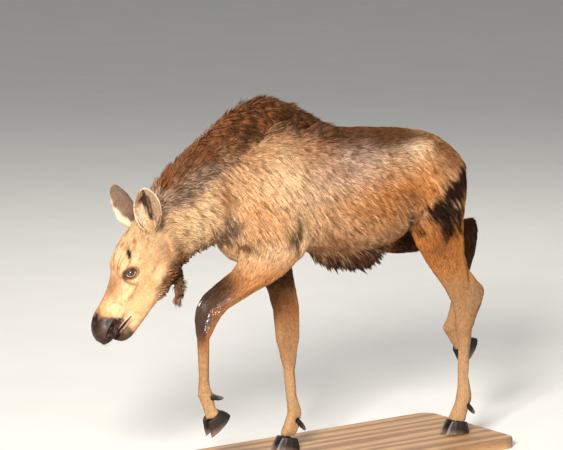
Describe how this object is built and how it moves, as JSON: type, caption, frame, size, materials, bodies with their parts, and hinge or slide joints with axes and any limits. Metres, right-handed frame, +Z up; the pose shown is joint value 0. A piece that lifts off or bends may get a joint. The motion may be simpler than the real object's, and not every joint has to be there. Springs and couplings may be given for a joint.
{
  "type": "moose figure",
  "caption": "Life-size young moose wading with its head low to drink, one foreleg and one hind leg lifted, on a flat display base.",
  "frame": {"origin": "bottom centre of the whole model's box, on the underside of the display base", "axes": "+X towards the rump, so the animal faces -X; its left side faces -Y; +Z up"},
  "size_m": [1.873, 0.58, 1.4615],
  "materials": {
    "bell": "hanging tuft of long brown hair",
    "chest": "golden tan fur under a rusty red-brown mane",
    "dewclaw_fore_left_left": "dark horn, dull, with fine growth rings",
    "dewclaw_fore_left_right": "dark horn, dull, with fine growth rings",
    "dewclaw_fore_right_left": "dark horn, dull, with fine growth rings",
    "dewclaw_fore_right_right": "dark horn, dull, with fine growth rings",
    "dewclaw_hind_left_left": "dark horn, dull, with fine growth rings",
    "dewclaw_hind_left_right": "dark horn, dull, with fine growth rings",
    "dewclaw_hind_right_left": "dark horn, dull, with fine growth rings",
    "dewclaw_hind_right_right": "dark horn, dull, with fine growth rings",
    "ear_left": "short fur, grey-brown outside, cream rim, dark hollow",
    "ear_right": "short fur, grey-brown outside, cream rim, dark hollow",
    "eye_left": "wet dark brown eye",
    "eye_right": "wet dark brown eye",
    "foreleg_left": "short wet dark brown fur in front, tan behind",
    "foreleg_left_cannon": "very short light tan fur",
    "foreleg_left_pastern": "very short light tan fur",
    "foreleg_right": "short wet dark brown fur in front, tan behind",
    "foreleg_right_cannon": "very short light tan fur",
    "foreleg_right_pastern": "very short light tan fur",
    "head": "short pale tan fur, dark brown wet muzzle",
    "hindleg_left": "short tan fur with a dark patch on the thigh",
    "hindleg_left_cannon": "very short light tan fur",
    "hindleg_left_gaskin": "short tan fur with a dark patch on the thigh",
    "hindleg_left_pastern": "very short light tan fur",
    "hindleg_right": "short tan fur with a dark patch on the thigh",
    "hindleg_right_cannon": "very short light tan fur",
    "hindleg_right_gaskin": "short tan fur with a dark patch on the thigh",
    "hindleg_right_pastern": "very short light tan fur",
    "hoof_fore_left_left_claw": "dark horn, dull, with fine growth rings",
    "hoof_fore_left_right_claw": "dark horn, dull, with fine growth rings",
    "hoof_fore_right_left_claw": "dark horn, dull, with fine growth rings",
    "hoof_fore_right_right_claw": "dark horn, dull, with fine growth rings",
    "hoof_hind_left_left_claw": "dark horn, dull, with fine growth rings",
    "hoof_hind_left_right_claw": "dark horn, dull, with fine growth rings",
    "hoof_hind_right_left_claw": "dark horn, dull, with fine growth rings",
    "hoof_hind_right_right_claw": "dark horn, dull, with fine growth rings",
    "neck": "golden tan fur under a rusty red-brown mane",
    "rump": "golden brown fur, greyer on the back, dark at the belly's fringe",
    "stand_base": "oiled light oak slab with eased edges",
    "tail": "short brown fur",
    "trunk": "golden brown fur, greyer on the back, dark at the belly's fringe"
  },
  "bodies": {
    "root": {"bell": "bell", "chest": "chest", "dewclaw_fore_left_left": "dewclaw_fore_left_left", "dewclaw_fore_left_right": "dewclaw_fore_left_right", "dewclaw_fore_right_left": "dewclaw_fore_right_left", "dewclaw_fore_right_right": "dewclaw_fore_right_right", "dewclaw_hind_left_left": "dewclaw_hind_left_left", "dewclaw_hind_left_right": "dewclaw_hind_left_right", "dewclaw_hind_right_left": "dewclaw_hind_right_left", "dewclaw_hind_right_right": "dewclaw_hind_right_right", "ear_left": "ear_left", "ear_right": "ear_right", "eye_left": "eye_left", "eye_right": "eye_right", "foreleg_left": "foreleg_left", "foreleg_left_cannon": "foreleg_left_cannon", "foreleg_left_pastern": "foreleg_left_pastern", "foreleg_right": "foreleg_right", "foreleg_right_cannon": "foreleg_right_cannon", "foreleg_right_pastern": "foreleg_right_pastern", "head": "head", "hindleg_left": "hindleg_left", "hindleg_left_cannon": "hindleg_left_cannon", "hindleg_left_gaskin": "hindleg_left_gaskin", "hindleg_left_pastern": "hindleg_left_pastern", "hindleg_right": "hindleg_right", "hindleg_right_cannon": "hindleg_right_cannon", "hindleg_right_gaskin": "hindleg_right_gaskin", "hindleg_right_pastern": "hindleg_right_pastern", "hoof_fore_left_left_claw": "hoof_fore_left_left_claw", "hoof_fore_left_right_claw": "hoof_fore_left_right_claw", "hoof_fore_right_left_claw": "hoof_fore_right_left_claw", "hoof_fore_right_right_claw": "hoof_fore_right_right_claw", "hoof_hind_left_left_claw": "hoof_hind_left_left_claw", "hoof_hind_left_right_claw": "hoof_hind_left_right_claw", "hoof_hind_right_left_claw": "hoof_hind_right_left_claw", "hoof_hind_right_right_claw": "hoof_hind_right_right_claw", "neck": "neck", "rump": "rump", "stand_base": "stand_base", "tail": "tail", "trunk": "trunk"}
  },
  "joints": []
}
